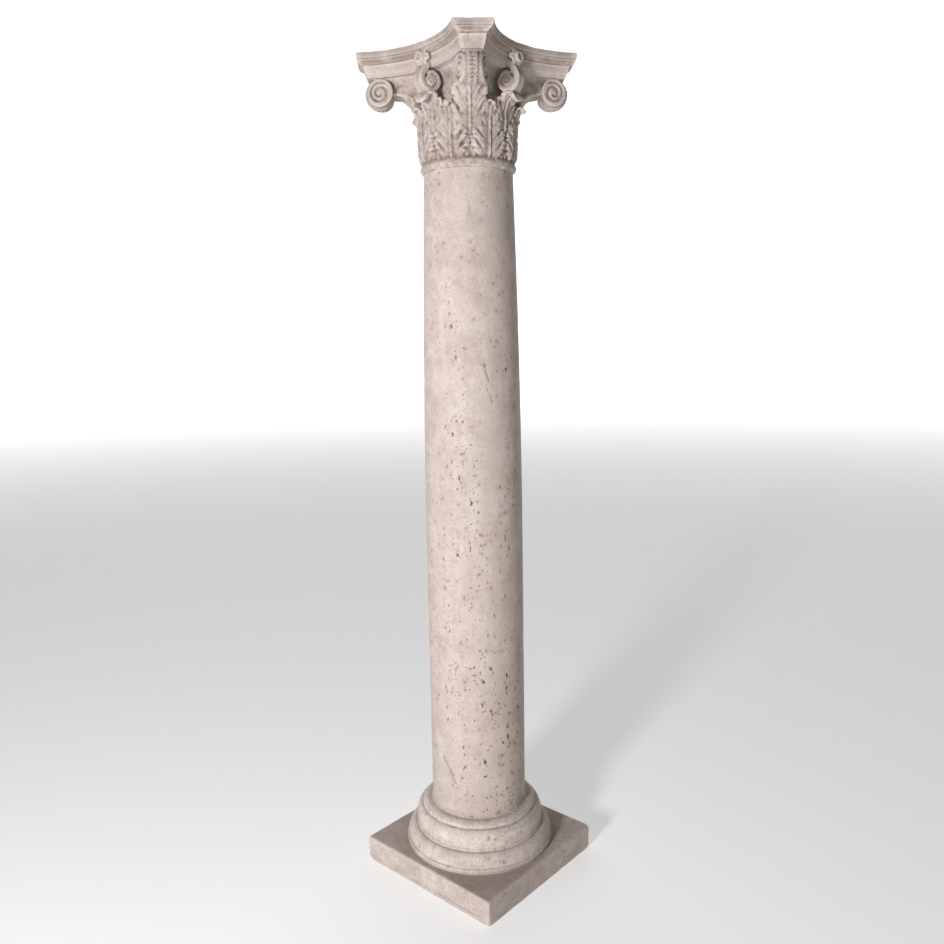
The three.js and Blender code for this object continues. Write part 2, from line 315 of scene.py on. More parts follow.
turnedCopies = turnedCopiesTree()
wornSurface = wornTree()
pittedStone = pittedTree()
rubbedPatches = rubbedTree()
gougedStone = gougedTree()


def around(thing, count, firstDegrees, stepDegrees=None, axis=(0, 0, 1), jitterDegrees=0.0, seed=1):
    step = 360 / count if stepDegrees is None else stepDegrees
    return runTree(thing, turnedCopies, {
        "Count": count, "First Angle": math.radians(firstDegrees), "Step Angle": math.radians(step),
        "Axis": axis, "Jitter": math.radians(jitterDegrees), "Seed": seed,
    })


def gouged(thing, gouges, material, shade=0.75):
    # each scratch passes through its middle place, so the curve's handle lies beyond it
    for *places, halfWidth, depth in gouges:
        start, middle, end = (np.array(place) * mm for place in places)
        handle = 2 * middle - (start + end) / 2
        runTree(thing, gougedStone, {
            "Start": start.tolist(), "Middle": handle.tolist(), "End": end.tolist(),
            "Half Width": halfWidth * mm, "Depth": depth * mm, "Shade": shade, "Material": material,
        })
    return thing


def storeRelief(thing, rounds, gain):
    # how far each point stands out of, or sinks below, the smoothed surface around it
    mesh = thing.data
    count = len(mesh.vertices)
    spots = np.empty(count * 3, np.float32)
    mesh.vertices.foreach_get("co", spots)
    spots = spots.reshape(-1, 3).astype(float)
    normals = np.empty(count * 3, np.float32)
    mesh.vertex_normals.foreach_get("vector", normals)
    ends = np.empty(len(mesh.edges) * 2, np.int32)
    mesh.edges.foreach_get("vertices", ends)
    ends = ends.reshape(-1, 2)
    links = np.concatenate([ends, ends[:, ::-1]])
    degree = np.maximum(np.bincount(links[:, 0], minlength=count), 1)
    smooth = spots.copy()
    for _ in range(rounds):
        for axis in range(3):
            total = np.bincount(links[:, 0], weights=smooth[links[:, 1], axis], minlength=count)
            smooth[:, axis] = 0.5 * smooth[:, axis] + 0.5 * total / degree
    height = ((spots - smooth) * normals.reshape(-1, 3)).sum(1) / mm
    layer = mesh.attributes.new("relief", "FLOAT", "POINT")
    layer.data.foreach_set("value", np.tanh(height * gain).astype(np.float32))


def smoothShade(thing, degrees=None):
    thing.data.shade_smooth()
    if degrees is not None:
        thing.data.set_sharp_from_angle(angle=math.radians(degrees))


# Stone

def stoneMaterial(name, look):
    material = bpy.data.materials.new(name)
    material.use_nodes = True
    tree = material.node_tree
    shader = tree.nodes["Principled BSDF"]
    spot = addNode(tree, "ShaderNodeTexCoord").outputs["Object"]

    def noise(scale, detail, roughness=0.55, vector=spot):
        return addNode(tree, "ShaderNodeTexNoise", {
            "Vector": vector, "Scale": scale, "Detail": detail, "Roughness": roughness,
        }).outputs[0]

    def between(value, low, high):
        return addNode(tree, "ShaderNodeMapRange",
                       {"Value": value, "From Min": low, "From Max": high}).outputs[0]

    def mixed(share, under, over):
        node = addNode(tree, "ShaderNodeMix", {0: share}, data_type="RGBA")
        for socket, colour in ((node.inputs[6], under), (node.inputs[7], over)):
            if isinstance(colour, bpy.types.NodeSocket):
                tree.links.new(colour, socket)
            else:
                socket.default_value = (*colour, 1)
        return node.outputs[2]

    def attribute(label):
        return addNode(tree, "ShaderNodeAttribute", attribute_name=label).outputs["Fac"]

    def stretched(scale):
        return addNode(tree, "ShaderNodeMapping", {"Vector": spot, "Scale": scale}).outputs[0]

    def laid(under, cover, share, tone):
        return mixed(times(tree, cover, look[share]), under, look[tone])

    # mottled ground with grey patches and pale streaks, tinted above or below a height
    mottle = between(noise(look["mottleScale"], 6.0, 0.62), 0.34, 0.68)
    colour = mixed(mottle, look["warm"], look["pale"])
    patches = between(noise(look["patchScale"], 3.0), 0.5, 0.72)
    colour = laid(colour, patches, "patchShare", "grey")
    drawn = stretched(look["streakStretch"])
    streaks = between(noise(look["streakScale"], 4.0, 0.6, drawn), 0.52, 0.74)
    colour = laid(colour, streaks, "streakShare", "wash")
    high = addNode(tree, "ShaderNodeSeparateXYZ", {0: spot}).outputs[2]
    beyond = between(high, look["crownFrom"], look["crownFrom"] + look["crownFade"])
    uneven = between(noise(look["crownScale"], 5.0, 0.65), 0.33, 0.55)
    colour = laid(colour, times(tree, beyond, uneven), "crownShare", "crown")

    # grime, grain, specks, a warm tint, layers, and painted shade on what faces up
    grime = between(noise(look["grimeScale"], 5.0, 0.65), look["grimeFrom"], look["grimeFrom"] + 0.3)
    colour = laid(colour, grime, "grimeShare", "grime")
    grain = noise(look["grainScale"], 4.0, 0.7)
    colour = laid(colour, between(grain, 0.46, 0.72), "grainShare", "dirt")
    specks = between(noise(look["speckScale"], 5.0, 0.75), 0.52, 0.7)
    colour = laid(colour, specks, "speckShare", "brown")
    tint = between(noise(look["tintScale"], 2.0, 0.5, drawn), 0.4, 0.62)
    colour = laid(colour, tint, "tintShare", "ochre")
    layers = between(noise(look["layerScale"], 4.0, 0.6, stretched(look["layerStretch"])), 0.5, 0.74)
    colour = laid(colour, layers, "layerShare", "brown")
    normal = addNode(tree, "ShaderNodeNewGeometry").outputs["Normal"]
    upward = addNode(tree, "ShaderNodeSeparateXYZ", {0: normal}).outputs[2]
    # painted shade: faces turned upwards are darkened with the grime colour
    colour = laid(colour, between(upward, 0.93, 0.995), "upShadeShare", "grime")

    # dirt with painted shade in the recesses, rubbed high places with a painted highlight
    relief = attribute("relief")
    blot = between(noise(look["blotScale"], 4.0), 0.3, 0.6)
    # the recesses are darkened for dirt and as painted shade
    hollowDirtAndShade = between(relief, look["hollowDirtShadeFrom"], look["hollowDirtShadeTo"])
    colour = laid(colour, times(tree, hollowDirtAndShade, blot), "hollowDirtShadeShare", "dirt")
    # painted highlight: raised places are lightened, partly as real rubbing
    colour = laid(colour, between(relief, 0.25, 0.9), "rubHighlightShare", "rub")

    # stained pits, and ragged small holes that gather in drawn patches, more on one side
    colour = laid(colour, attribute("stain"), "stainShare", "stain")
    frayed = addNode(tree, "ShaderNodeTexNoise", {"Vector": spot, "Scale": look["frayScale"], "Detail": 2.0})
    ragged = addNode(tree, "ShaderNodeVectorMath", {0: frayed.outputs[1], "Scale": 0.014}, operation="SCALE")
    place = addNode(tree, "ShaderNodeVectorMath",
                    {0: stretched(look["dotStretch"]), 1: ragged.outputs[0]}, operation="ADD").outputs[0]
    sideways = addNode(tree, "ShaderNodeVectorMath", {0: spot, 1: look["pitSide"]}, operation="DOT_PRODUCT")
    drift = noise(look["gatherScale"], 3.0, 0.6, drawn)
    gathered = between(drift, look["gatherFrom"], look["gatherFrom"] + 0.2)
    sided = sums(tree, "ADD", between(sideways.outputs[1], 0.05, 0.11), 0.75)
    gathered = times(tree, gathered, sided)
    hole = attribute("pit")
    for scale, fewest in ((look["dotScale"], 0.2), (look["dotScale"] * 2.1, 0.15)):
        dots = addNode(tree, "ShaderNodeTexVoronoi", {"Vector": place, "Scale": scale})
        lots = addNode(tree, "ShaderNodeSeparateColor", {0: dots.outputs["Color"]}).outputs
        size = sums(tree, "ADD", times(tree, lots[1], 0.85), 0.3)
        dot = between(sums(tree, "DIVIDE", dots.outputs["Distance"], size), 0.32, 0.1)
        kept = times(tree, between(lots[0], fewest, fewest + 0.6), gathered)
        small = times(tree, times(tree, dot, kept), look["dotShare"])
        hole = sums(tree, "MAXIMUM", hole, small)
    colour = laid(colour, hole, "pitShare", "pit")

    height = sums(tree, "SUBTRACT", times(tree, grain, 0.25), hole)
    rough = addNode(tree, "ShaderNodeBump", {"Height": height, "Strength": 0.35, "Distance": 0.0016})
    tree.links.new(rough.outputs[0], shader.inputs["Normal"])
    tree.links.new(colour, shader.inputs["Base Color"])
    shader.inputs["Roughness"].default_value = look["roughness"]
    shader.inputs["Specular IOR Level"].default_value = 0.25
    return material


stoneLook = {
    "pale": (0.7, 0.607, 0.565), "warm": (0.54, 0.45, 0.405), "mottleScale": 16.0,
    "grey": (0.49, 0.425, 0.405), "patchScale": 5.0, "patchShare": 0.45,
    "wash": (0.75, 0.68, 0.645), "streakScale": 2.2, "streakStretch": (9.0, 9.0, 0.9), "streakShare": 0.35,
    "crown": (0.34, 0.262, 0.215), "crownScale": 20.0,
    "crownFrom": 0.0, "crownFade": 0.006, "crownShare": 0.0,
    "grime": (0.27, 0.215, 0.19), "grimeScale": 38.0, "grimeFrom": 0.42, "grimeShare": 0.2, "upShadeShare": 0.0,
    "dirt": (0.16, 0.115, 0.09), "grainScale": 240.0, "grainShare": 0.36,
    "brown": (0.34, 0.262, 0.215), "speckScale": 50.0, "speckShare": 0.4,
    "layerScale": 1.3, "layerStretch": (5.0, 5.0, 60.0), "layerShare": 0.0,
    "ochre": (0.6, 0.505, 0.43), "tintScale": 0.8, "tintShare": 0.18,
    "blotScale": 26.0, "hollowDirtShadeFrom": -0.12, "hollowDirtShadeTo": -0.85, "hollowDirtShadeShare": 0.8,
    "rub": (0.7, 0.607, 0.565), "rubHighlightShare": 0.35, "stain": (0.45, 0.335, 0.26), "stainShare": 0.3,
    "pit": (0.13, 0.095, 0.075), "pitShare": 0.65, "pitSide": (0.9, -0.42, 0.0),
    "dotScale": 66.0, "dotStretch": (1.0, 1.0, 0.62), "dotShare": 1.0, "frayScale": 110.0,
    "gatherScale": 1.1, "gatherFrom": 0.42, "roughness": 0.82,
}
shaftStone = stoneMaterial("shaftStone", {
    **stoneLook, "patchShare": 0.38, "streakShare": 0.48, "speckShare": 0.48,
    "ochre": (0.55, 0.452, 0.385), "tintShare": 0.34, "pitShare": 0.78, "gatherFrom": 0.36,
})
baseStone = stoneMaterial("baseStone", {
    **stoneLook, "pale": (0.72, 0.63, 0.59), "warm": (0.57, 0.48, 0.437), "patchShare": 0.5,
    "crown": (0.9, 0.8, 0.755), "crownFrom": 0.071, "crownShare": 0.75,
    "grimeShare": 0.35, "upShadeShare": 0.34, "dirt": (0.3, 0.22, 0.17), "grainShare": 0.55,
    "speckScale": 105.0, "speckShare": 0.6, "layerShare": 0.35, "hollowDirtShadeShare": 0.6, "dotShare": 0.5,
})
carved = {
    **stoneLook, "pale": (0.58, 0.504, 0.475), "warm": (0.42, 0.352, 0.325), "grey": (0.39, 0.342, 0.33),
    "patchShare": 0.6, "crownFrom": (capitalLow[2] + 41) * mm, "crownFade": -0.008, "crownShare": 0.5,
    "grimeScale": 24.0, "grimeShare": 0.7, "dirt": (0.125, 0.086, 0.064), "grainShare": 0.44,
    "speckScale": 80.0, "speckShare": 0.55, "hollowDirtShadeFrom": -0.1, "hollowDirtShadeTo": -0.8, "hollowDirtShadeShare": 0.82,
    "rub": (0.66, 0.574, 0.538), "rubHighlightShare": 0.65, "dotScale": 85.0, "dotShare": 0.55,
}
capitalStone = stoneMaterial("capitalStone", carved)
abacusStone = stoneMaterial("abacusStone", {
    **carved, "crown": (0.22, 0.165, 0.132),
    "crownFrom": (capitalHigh[2] - 27) * mm, "crownFade": 0.006, "crownShare": 0.85,
    "grimeScale": 17.0, "grimeFrom": 0.4, "grimeShare": 0.48, "layerShare": 0.4,
})
print("stone materials made")


# Shaft

shaft = {
    "bottom": shaftLow[2], "top": shaftHigh[2],
    "footRadius": 129, "neckRadius": 112, "flare": 5.5, "flareHeight": 14,
    "straightShare": 0.42, "taperPower": 1.8, "rows": 448, "columns": 216,
    "pits": {"Density": 1000.0, "Patch Scale": 6.0, "Patch Level": 0.44, "Small Radius": 0.002,
             "Large Radius": 0.0042, "Depth": 0.0028, "Seed": 11},
    # scratches as degrees and heights at the start, the middle and the end, half width and depth
    "gouges": [
        ((-33.8, 1389), (-31.6, 1372), (-28.3, 1347), 3.4, 2.5),
        ((-31.9, 1338), (-28.5, 1318), (-25.1, 1295), 2.2, 1.5),
        ((-95.2, 342), (-86.6, 312), (-74.3, 265), 3.4, 2.4),
        ((-84.5, 312), (-82.5, 305), (-80.5, 298), 4.4, 2.4),
    ],
}


def shaftRadius(heights):
    share = (heights - shaft["bottom"]) / (shaft["top"] - shaft["bottom"])
    above = np.maximum(0, (share - shaft["straightShare"]) / (1 - shaft["straightShare"]))
    radius = shaft["footRadius"] - (shaft["footRadius"] - shaft["neckRadius"]) * above ** shaft["taperPower"]
    atFoot = np.maximum(0, 1 - (heights - shaft["bottom"]) / shaft["flareHeight"])
    return radius + shaft["flare"] * atFoot**2


def onShaft(degrees, height):
    turn = math.radians(degrees)
    return np.array([math.cos(turn), math.sin(turn), 0]) * shaftRadius(height) + (0, 0, height)


def makeShaft():
    heights = np.linspace(shaft["bottom"], shaft["top"], shaft["rows"])
    radius = shaftRadius(heights)
    angle = np.linspace(0, 2 * np.pi, shaft["columns"], endpoint=False)
    rings = np.stack(np.broadcast_arrays(
        radius[:, None] * np.cos(angle), radius[:, None] * np.sin(angle), heights[:, None]), -1)
    thing = ringBody("columnShaft", rings)
    smoothShade(thing, 40)
    runTree(thing, wornSurface, {"Scale": 9.0, "Amount": 0.0022, "Seed": 3.0})
    runTree(thing, pittedStone, shaft["pits"])
    scratches = [(*(onShaft(*place) for place in places), halfWidth, depth)
                 for *places, halfWidth, depth in shaft["gouges"]]
    return gouged(thing, scratches, shaftStone)


shaftPiece = makeShaft()
print("shaft:", len(shaftPiece.data.polygons), "faces")


# Base: mouldings turned on the axis, and the plinth with rubbed edges

base = {
    "plinthSide": baseHigh[0] - baseLow[0], "plinthHeight": 69, "plinthEdge": 4.5, "top": baseHigh[2],
    "rimRadius": 203, "rimTop": 82, "lowerTorusRadius": 199.4,
    "filletRadius": 175.5, "filletFoot": 117, "filletTop": 121.5,
    "upperTorusRadius": 174.2, "upperTorusMiddle": 138,
    "grooveRadius": 157, "grooveHeight": 170, "collarRadius": 134, "quirk": 1,
    "roundSteps": 24, "columns": 240, "plinthCuts": 110, "plinthRises": 22,
    # knocks on the plinth's edges: place, radius and depth
    "chips": [
        ((-222, -222, 0), 18, 5), ((222, -222, 0), 12, 2.5), ((222, 222, 69), 14, 3.5),
        ((222, 222, 0), 14, 4), ((60, -222, 0), 12, 2), ((-120, -222, 69), 10, 2), ((222, -60, 69), 12, 2),
        ((222, 90, 0), 14, 2.5), ((150, -222, 0), 10, 2), ((-222, -222, 69), 8, 2),
    ],
    # a crack low on one side: places along it and heights, then half width and depth
    "crack": ((-60, 11), (60, 14), (196, 14), 2.2, 1.2),
    "pits": {"Density": 500.0, "Patch Scale": 6.0, "Patch Level": 0.52, "Small Radius": 0.0016,
             "Large Radius": 0.0036, "Depth": 0.002, "Seed": 5},
}


def quarterRound(start, end):
    # a quarter of an ellipse bulging outwards from one (radius, height) to the other
    turn = np.linspace(0, np.pi / 2, base["roundSteps"])[:, None]
    (fromRadius, fromHeight), (toRadius, toHeight) = start, end
    return np.concatenate([toRadius + (fromRadius - toRadius) * np.cos(turn),
                           fromHeight + (toHeight - fromHeight) * np.sin(turn)], 1)


def makeMouldings():
    b = base
    q = b["quirk"]
    profile = np.concatenate([
        [(b["rimRadius"], b["plinthHeight"] - 4 * q), (b["rimRadius"], b["plinthHeight"] + 4 * q)],
        quarterRound((b["rimRadius"], b["rimTop"] - 3 * q), (b["lowerTorusRadius"] + q, b["rimTop"])),
        quarterRound((b["lowerTorusRadius"], b["rimTop"] + q), (b["filletRadius"] + q, b["filletFoot"] - q)),
        [(b["filletRadius"], b["filletFoot"]), (b["filletRadius"], b["filletTop"])],
        quarterRound((b["upperTorusRadius"] - 2 * q, b["filletTop"] + q),
                     (b["upperTorusRadius"], b["upperTorusMiddle"])),
        quarterRound((b["upperTorusRadius"], b["upperTorusMiddle"]),
                     (b["grooveRadius"] + 2 * q, b["grooveHeight"] - q)),
        [(b["grooveRadius"], b["grooveHeight"])],
        quarterRound((b["grooveRadius"], b["grooveHeight"] + 2 * q), (b["collarRadius"], b["top"])),
        [(b["collarRadius"] / 2, b["top"])],
    ])
    radius, heights = profile[:, :1], profile[:, 1:]
    angle = np.linspace(0, 2 * np.pi, b["columns"], endpoint=False)
    rings = np.stack(np.broadcast_arrays(radius * np.cos(angle), radius * np.sin(angle), heights), -1)
    return ringBody("mouldings", rings)


def makePlinth():
    side, tall, edge = base["plinthSide"], base["plinthHeight"], base["plinthEdge"]
    mix = bmesh.new()
    bmesh.ops.create_cube(mix, size=1, matrix=Matrix.Translation((0, 0, tall / 2)) @ Matrix.Diagonal(
        (side, side, tall, 1)))
    bmesh.ops.bevel(mix, geom=mix.edges[:], offset=edge, segments=4, profile=0.5, affect="EDGES")
    long = [e for e in mix.edges if e.calc_length() > side / 2]
    bmesh.ops.subdivide_edges(mix, edges=long, cuts=base["plinthCuts"], use_grid_fill=True)
    tallEdges = [e for e in mix.edges if abs(e.verts[0].co.z - e.verts[1].co.z) > tall / 2]
    bmesh.ops.subdivide_edges(mix, edges=tallEdges, cuts=base["plinthRises"], use_grid_fill=True)
    points = np.array([v.co[:] for v in mix.verts])
    mix.verts.index_update()
    faces = [[v.index for v in f.verts] for f in mix.faces]
    mix.free()
    middle = np.array([0, 0, tall / 2])
    for place, radius, depth in base["chips"]:
        away = np.linalg.norm(points - place, axis=1, keepdims=True)
        inward = (middle - place) / np.linalg.norm(middle - place)
        points += inward * depth * np.clip(1 - away / radius, 0, 1) ** 1.5
    return meshObject("plinth", points, faces)


def makeBase():
    whole = joined("columnBase", [makeMouldings(), makePlinth()])
    smoothShade(whole, 85)
    runTree(whole, wornSurface, {"Scale": 14.0, "Amount": 0.003, "Seed": 8.0})
    runTree(whole, wornSurface, {"Scale": 60.0, "Amount": 0.0012, "Seed": 2.0})
    storeRelief(whole, 24, 0.9)
    runTree(whole, pittedStone, base["pits"])
    *places, halfWidth, depth = base["crack"]
    crack = [(x, -base["plinthSide"] / 2, z) for x, z in places]
    return gouged(whole, [(*crack, halfWidth, depth)], baseStone)


basePiece = makeBase()
print("base:", len(basePiece.data.polygons), "faces")


# Capital: leaves, volutes, scrolls and flowers grown together with the bell, under the abacus

# each blade climbs along a path of (reach, height), is full up to its shoulder and draws in above it
leafKinds = {
    "lower": {
        "path": [(112, 1880), (120, 1891), (123, 1920), (124, 1955), (129, 1983), (137, 1996), (142, 1989)],
        "halfWidth": 50, "tipDraw": 0.8, "shoulder": 0.36, "point": 1.15, "thickness": 10, "lobes": 4.5,
        "count": 8, "first": 22.5,
    },
    "side": {
        "path": [(103, 1912), (120, 1945), (125, 1985), (133, 2008), (146, 2018), (155, 2013), (155, 2003)],
        "halfWidth": 42, "tipDraw": 0.5, "shoulder": 0.45, "point": 2.0, "thickness": 10, "lobes": 4.5,
        "count": 4, "first": 0,
    },
    "corner": {
        "path": [(103, 1912), (121, 1945), (126, 1980), (132, 2004), (141, 2024), (156, 2038), (174, 2045)],
        "halfWidth": 45, "tipDraw": 0.5, "shoulder": 0.76, "point": 1.5, "thickness": 30, "lobes": 4.0,
        "count": 4, "first": 45,
    },
}
leafRelief = {
    "rows": 96, "columns": 73, "lobeRise": 0.42, "teeth": 3, "bladeLength": 130, "jitterDegrees": 0.6,
    "notchDepth": 0.2, "toothDepth": 0.07,
    # how far each part of the carving stands out or sinks in, and how wide the narrow ones are
    "rib": 3.8, "ribWidth": 2.4, "flank": 1.8, "flankAway": 5.5, "flankWidth": 2.6, "swell": 2.9,
    "cut": 3.9, "cutWidth": 2.4, "veins": 1.2, "leaflets": 2.4, "edgeFall": 8,
    "eye": 8, "eyePlace": 0.62, "eyeWidth": 4.2,
}


def makeLeaf(name, kind):
    r = leafRelief
    line, tangent = pathThrough(kind["path"], r["rows"])
    outward = np.stack([tangent[:, 1], -tangent[:, 0]], 1)
    along = np.linspace(0, 1, r["rows"])[:, None]
    across = np.linspace(-1, 1, r["columns"])[None, :]

    # the blade's width as a share of its half width, with a rounded tip and toothed lobes
    upper = np.clip((along - kind["shoulder"]) / (0.95 - kind["shoulder"]), 0, 1)
    full = (0.88 + 0.3 * np.minimum(along, 0.4)) * (1 - kind["tipDraw"] * upper ** kind["point"])
    full = full * np.sqrt(np.clip(1 - np.clip((along - 0.88) / 0.12, 0, 1) ** 2, 0.03, 1))
    edgePhase = (along - r["lobeRise"] * full) * kind["lobes"]
    notch = bump(edgePhase - np.round(edgePhase), 0.1)
    tooth = np.abs(np.sin(np.pi * r["teeth"] * edgePhase))
    share = across * full * (1 - r["notchDepth"] * notch - r["toothDepth"] * (1 - tooth))

    # midrib, lobes parted by cuts, veins, leaflets along the edge and a drilled eye at each cut
    phase = (along - r["lobeRise"] * np.abs(share)) * kind["lobes"]
    toCut = np.abs(phase - np.round(phase)) * r["bladeLength"] / kind["lobes"]
    sideways = share * kind["halfWidth"]
    out = np.abs(sideways)
    rib = r["rib"] * bump(sideways, r["ribWidth"]) * (1 - 0.4 * along)
    flank = r["flank"] * bump(out - r["flankAway"], r["flankWidth"])
    swell = r["swell"] * np.sqrt(np.abs(np.sin(np.pi * phase))) * ease(out, 8, 26)
    cut = r["cut"] * bump(toCut, r["cutWidth"]) * ease(out, 9, 26)
    veins = r["veins"] * np.cos(2 * np.pi * r["teeth"] * phase) * ease(out, 3, 9)
    atEdge = ease(out, 0.58 * kind["halfWidth"], 0.8 * kind["halfWidth"])
    leaflets = r["leaflets"] * np.abs(np.sin(np.pi * r["teeth"] * phase)) * atEdge
    toEye = out - r["eyePlace"] * kind["halfWidth"] * full
    eye = r["eye"] * bump(toEye, r["eyeWidth"]) * bump(toCut, 3.2)
    fall = r["edgeFall"] * np.abs(across) ** 6 * np.sqrt(1 - along)
    lift = (rib - flank + swell - cut + veins + leaflets - eye) * (1 - 0.45 * along**4) - fall
    angle = sideways / line[:, :1]

    def placed(raised, turned):
        reach = line[:, :1] + outward[:, :1] * raised
        height = line[:, 1:] + outward[:, 1:] * raised
        return np.stack([reach * np.cos(turned), reach * np.sin(turned), height + 0 * turned], -1)

    front = placed(lift, angle)
    back = placed(-kind["thickness"] + 0 * lift, angle * 0.92)[:, ::-1]
    leaf = ringBody(name, np.concatenate([front, back], 1))
    return around(leaf, kind["count"], kind["first"], jitterDegrees=r["jitterDegrees"], seed=4)


volute = {
    "reach": 214, "height": 2047, "radius": 32, "rimHalfWidth": 21, "splay": 0.34,
    "grooveStart": 25.5, "groovePitch": 11, "grooveTurns": 1.75, "grooveWidth": 2.6, "grooveDepth": 6.5,
    "eyeRadius": 5, "eyeRise": 2.2, "rimWear": 2.5, "spins": 90, "rings": 34, "rimCuts": 13,
    "chevrons": 14, "chevronFrom": -100, "chevronStep": 15.5,
    "strokeReach": 12, "strokeDrop": 10, "strokeBend": 2.2, "strokeThickness": 3.3, "strokeRise": 1.3,
}


def makeVolutes():
    v = volute
    spin = np.linspace(0, 2 * np.pi, v["spins"], endpoint=False)[None, :]
    size = np.linspace(0.02, 1, v["rings"])[:, None] * v["radius"]
    reach = v["reach"] + size * np.cos(spin)
    height = v["height"] + size * np.sin(spin)
    half = v["rimHalfWidth"] + v["splay"] * (v["reach"] + v["radius"] - reach)
    groove = np.zeros_like(half)
    for lap in range(-1, 3):
        turn = ((0.75 * np.pi - spin) / (2 * np.pi)) + lap
        gap = size - (v["grooveStart"] - v["groovePitch"] * turn)
        inside = ease(turn, -0.02, 0.06) * ease(v["grooveTurns"] - turn, -0.02, 0.05)
        groove = np.maximum(groove, inside * bump(gap, v["grooveWidth"]))
    eye = v["eyeRise"] * bump(size, v["eyeRadius"])
    worn = v["rimWear"] * ease(size, v["radius"] - 4, v["radius"] + 1)
    half = half - v["grooveDepth"] * groove + eye - worn
    near = np.stack([reach, -half, height], -1)
    far = np.stack([reach, half, height], -1)[::-1]
    across = np.linspace(-1, 1, v["rimCuts"] + 1)[1:-1, None]
    rim = np.stack(np.broadcast_arrays(reach[-1:], across * half[-1:], height[-1:]), -1)
    drum = ringBody("voluteDrum", np.concatenate([near, rim, far]))

    # one chevron: two strokes from the middle of the rim, drawn at the rim's outermost point
    strokes = []
    run = np.linspace(0, 1, 12)[:, None]
    girth = np.linspace(0, 2 * np.pi, 10, endpoint=False)[None, :]
    thick = v["strokeThickness"] * np.sqrt(np.sin(np.pi * (0.08 + 0.88 * run)))
    for side in (-1, 1):
        middle = run * v["strokeReach"] * side
        drop = -run * v["strokeDrop"] + v["strokeBend"] * np.sin(np.pi * run)
        strokes.append(ringBody("stroke", np.stack(np.broadcast_arrays(
            v["radius"] + v["strokeRise"] + thick * np.cos(girth),
            middle + 0 * girth, drop + thick * np.sin(girth)), -1)))
    chevron = joined("chevron", strokes)
    around(chevron, v["chevrons"], v["chevronFrom"], v["chevronStep"], axis=(0, 1, 0))
    chevron.data.transform(Matrix.Translation((v["reach"] * mm, 0, v["height"] * mm)))
    return around(joined("volutes", [drum, chevron]), 4, 45)


scroll = {
    "line": [
        (138, 2102), (147, 2091), (157, 2078), (166, 2061), (164, 2043), (153, 2032),
        (139, 2031), (129, 2038), (125, 2051), (130, 2064), (141, 2070), (151, 2065),
    ],
    "steps": 150, "outerReach": 174, "halfWidth": 11, "splay": 0.3, "thickness": 17, "taper": 7,
    "squareness": 0.4, "channel": 0.22, "eye": (145, 2051), "fieldRadius": 21, "fieldRecess": 8,
    "bossRadius": 13, "bossRise": 3, "bossEdge": 3.5, "whorlDepth": 3,
}


def scrollFace(reach):
    # half the ribbon's width, which grows towards the bell
    return scroll["halfWidth"] + scroll["splay"] * (scroll["outerReach"] - reach)


def makeScrolls():
    line, tangent = pathThrough(scroll["line"], scroll["steps"])
    outward = np.stack([tangent[:, 1], -tangent[:, 0]], 1)
    half = (scroll["thickness"] - scroll["taper"] * np.linspace(0, 1, scroll["steps"])) / 2
    girth = np.linspace(0, 2 * np.pi, 40, endpoint=False)
    deepShare, wideShare = [np.sign(wave) * np.abs(wave) ** scroll["squareness"]
                            for wave in (np.cos(girth), np.sin(girth))]
    deep = half[:, None] * deepShare * (1 - scroll["channel"] * bump(wideShare, 0.5))
    reach = line[:, :1] + outward[:, :1] * deep
    ribbon = ringBody("scrollRibbon", np.stack(
        [reach, wideShare * scrollFace(reach), line[:, 1:] + outward[:, 1:] * deep], -1))

    # the sunken field round the eye, and the boss with its own small whorl
    spin = np.linspace(0, 2 * np.pi, 60, endpoint=False)[None, :]
    size = np.linspace(0.02, 1, 22)[:, None]
    toWhorl = (size - 0.62 + 0.36 * spin / (2 * np.pi)) * scroll["bossRadius"]
    dome = scroll["bossRise"] * (1 - size**2) - scroll["bossEdge"] * ease(size, 0.85, 1.02)
    parts = [ribbon]
    for name, radius, raised in (
        ("scrollField", scroll["fieldRadius"], -scroll["fieldRecess"] + 0 * size * spin),
        ("scrollBoss", scroll["bossRadius"], dome - scroll["whorlDepth"] * bump(toWhorl, 1.6)),
    ):
        reach = scroll["eye"][0] + radius * size * np.cos(spin)
        height = scroll["eye"][1] + radius * size * np.sin(spin)
        wide = scrollFace(reach) + raised
        faces = [np.stack([reach, side * wide, height], -1) for side in (-1, 1)]
        parts.append(ringBody(name, np.concatenate([faces[0], faces[1][::-1]])))
    return around(joined("scrolls", parts), 4, 0)


fleuron = {
    "reach": 152, "height": 2102, "depth": 16,
    # how many, degrees of the first, length, half width and lift
    "outerPetals": (6, 30, 21, 11, 4), "innerPetals": (5, 0, 11.55, 7.2, 10),
    "petalThickness": 4.5, "petalBow": 5, "petalStart": 3, "petalJitter": 3,
}


def makePetals(name, count, first, length, width, lift):
    f = fleuron
    run = np.linspace(0, 1, 14)[:, None]
    girth = np.linspace(0, 2 * np.pi, 16, endpoint=False)[None, :]
    wide = width * np.sqrt(np.sin(np.pi * (0.1 + 0.84 * run)))
    crease = 1 - 0.5 * bump(wide * np.cos(girth), 1.8) * (np.sin(girth) > 0)
    petal = ringBody(name, np.stack(np.broadcast_arrays(
        lift + f["petalBow"] * np.sin(np.pi * run) + f["petalThickness"] * np.sin(girth) * crease,
        wide * np.cos(girth), f["petalStart"] + run * length), -1))
    return around(petal, count, first, axis=(1, 0, 0), jitterDegrees=f["petalJitter"], seed=9)


